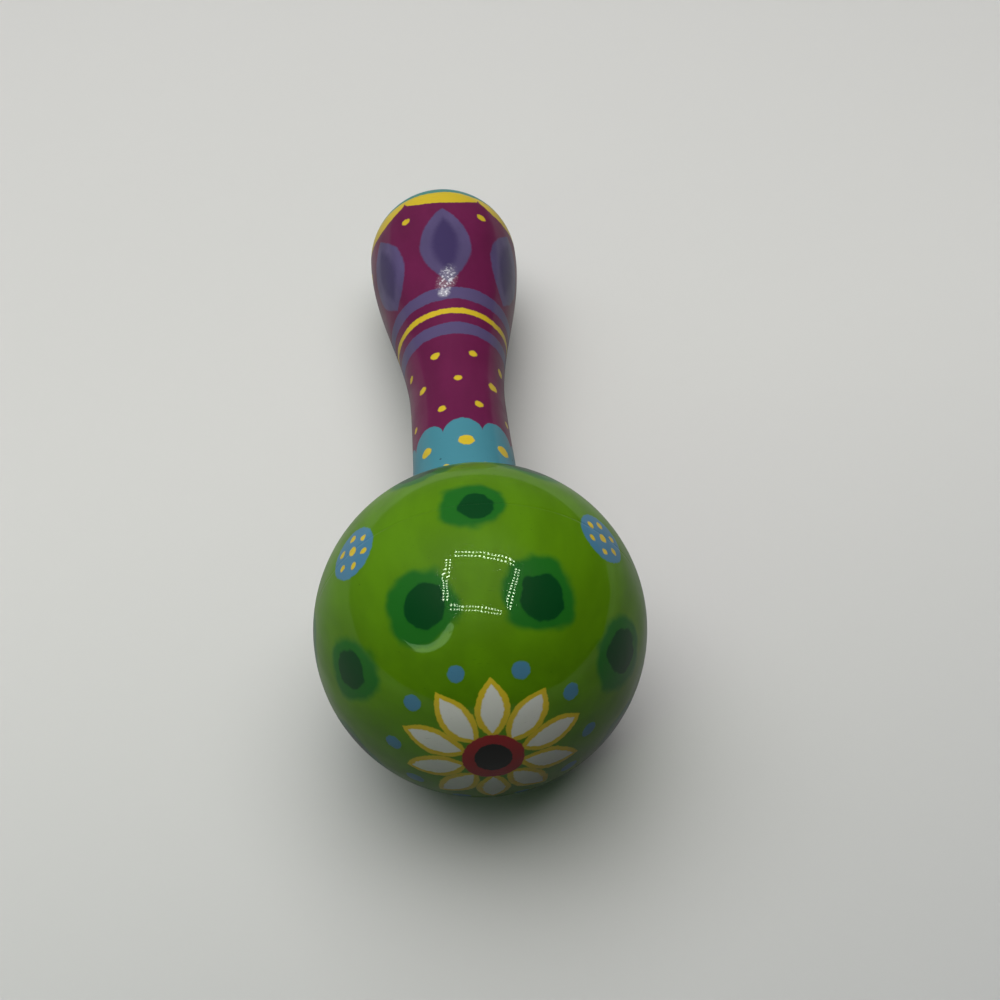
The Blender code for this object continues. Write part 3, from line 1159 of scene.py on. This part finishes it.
def add_panel():
    bpy.ops.object.light_add(type="AREA", location=PANEL_PLACE)
    panel = bpy.context.object
    panel.name = "soft_panel"
    panel.rotation_euler = (BALL_CENTRE - panel.location).to_track_quat("-Z", "Y").to_euler()
    panel.data.size = PANEL_SIZE
    panel.data.energy = PANEL_POWER
    panel.visible_glossy = False
    return panel


panel = add_panel()
print(panel.name, "is", PANEL_SIZE, "m wide")

# %% [markdown]
# ## The curved slit
#
# A weak curved slit of light beside the camera gives the small bright arc on the ball. It runs out
# to a point at one end, and it is tinted green, because the arc in the photograph is.

# %% Hang the curved slit
SLIT_TOWARDS = (-0.59, 0.20, 0.78)
SLIT_AWAY = 0.5
SLIT_RADIUS = 0.184
SLIT_HALF_WIDTH = 0.018
SLIT_SOFT_SHARE = 0.25
SLIT_LAMP_SIZE = 0.46
SLIT_POINT_END = (-2.3, -0.97)
SLIT_BLUNT_END = (0.35, 0.65)
SLIT_POWER = 3.2
SLIT_COLOUR = (0.6, 1.0, 0.52)


def light_in_arc(lamp):
    """Leaves a lamp's light only in an arc that runs out to a point at one end."""
    bench = PaintBench(lamp, "Emission")
    x, y, _ = bench.split(bench.put("NewGeometry", {}, "Parametric"))
    across = bench.calc("SUBTRACT", x, 0.5)
    up = bench.calc("SUBTRACT", y, 0.5)
    turn = bench.calc("ARCTAN2", up, across)
    half_width = SLIT_HALF_WIDTH / lamp.size
    point_end = bench.ramp(turn, *SLIT_POINT_END, -half_width, half_width)
    blunt_end = bench.ramp(turn, *SLIT_BLUNT_END, half_width, -half_width)
    off = bench.calc("SUBTRACT", bench.length(across, up), SLIT_RADIUS / lamp.size)
    width = bench.calc("MINIMUM", point_end, blunt_end)
    edge = bench.calc("SUBTRACT", bench.calc("ABSOLUTE", off), width)
    bench.send({"Strength": bench.inside(edge, half_width * SLIT_SOFT_SHARE)})


def add_slit():
    bpy.ops.object.light_add(type="AREA")
    slit = bpy.context.object
    slit.name = "curved_slit"
    towards = camera.matrix_world.to_3x3() @ Vector(SLIT_TOWARDS)
    slit.location = BALL_CENTRE + towards * SLIT_AWAY
    slit.rotation_euler = towards.to_track_quat("Z", "Y").to_euler()
    slit.data.size = SLIT_LAMP_SIZE
    slit.data.energy = SLIT_POWER
    slit.data.color = SLIT_COLOUR
    slit.visible_camera = False
    light_in_arc(slit.data)
    return slit


slit = add_slit()
print(slit.name, "is", SLIT_AWAY, "m from the ball")

# %% [markdown]
# ## The tent
#
# Round it all stands a light tent. Its walls give soft light, cooler than the lamps, from behind and
# from the left. The tent is open and dark on the side of the camera. The lacquer mirrors the walls
# only faintly, and a camera that looks past the floor sees the same pale tone as the floor's.

# %% Put up the tent
TENT_BRIGHT_SIDE = (-0.6, 0.8, 0)
TENT_EDGE = (-0.1, 0.8)
TENT_OPEN = 0.005
TENT_WALL = 0.45
TENT_MIRROR_SHARE = 0.16
TENT_COLOUR = (0.88, 0.97, 1.08, 1)


def add_tent():
    world = bpy.data.worlds.new("tent")
    bpy.context.scene.world = world
    bench = PaintBench(world, "Background")
    towards = bench.put("TexCoord", {}, "Generated")
    facing = bench.put("VectorMath", {0: towards, 1: TENT_BRIGHT_SIDE}, "Value", operation="DOT_PRODUCT")
    glow = bench.ramp(facing, *TENT_EDGE, TENT_OPEN, TENT_WALL)
    straight, mirrored = kinds_of_ray(bench)
    share = bench.ramp(mirrored, 0.0, 1.0, 1.0, TENT_MIRROR_SHARE)
    strength = bench.calc("MAXIMUM", bench.calc("MULTIPLY", glow, share), straight)
    bench.send({"Color": bench.lay(TENT_COLOUR, BACKDROP, straight), "Strength": strength})
    return world


tent = add_tent()
print(tent.name, "is up")
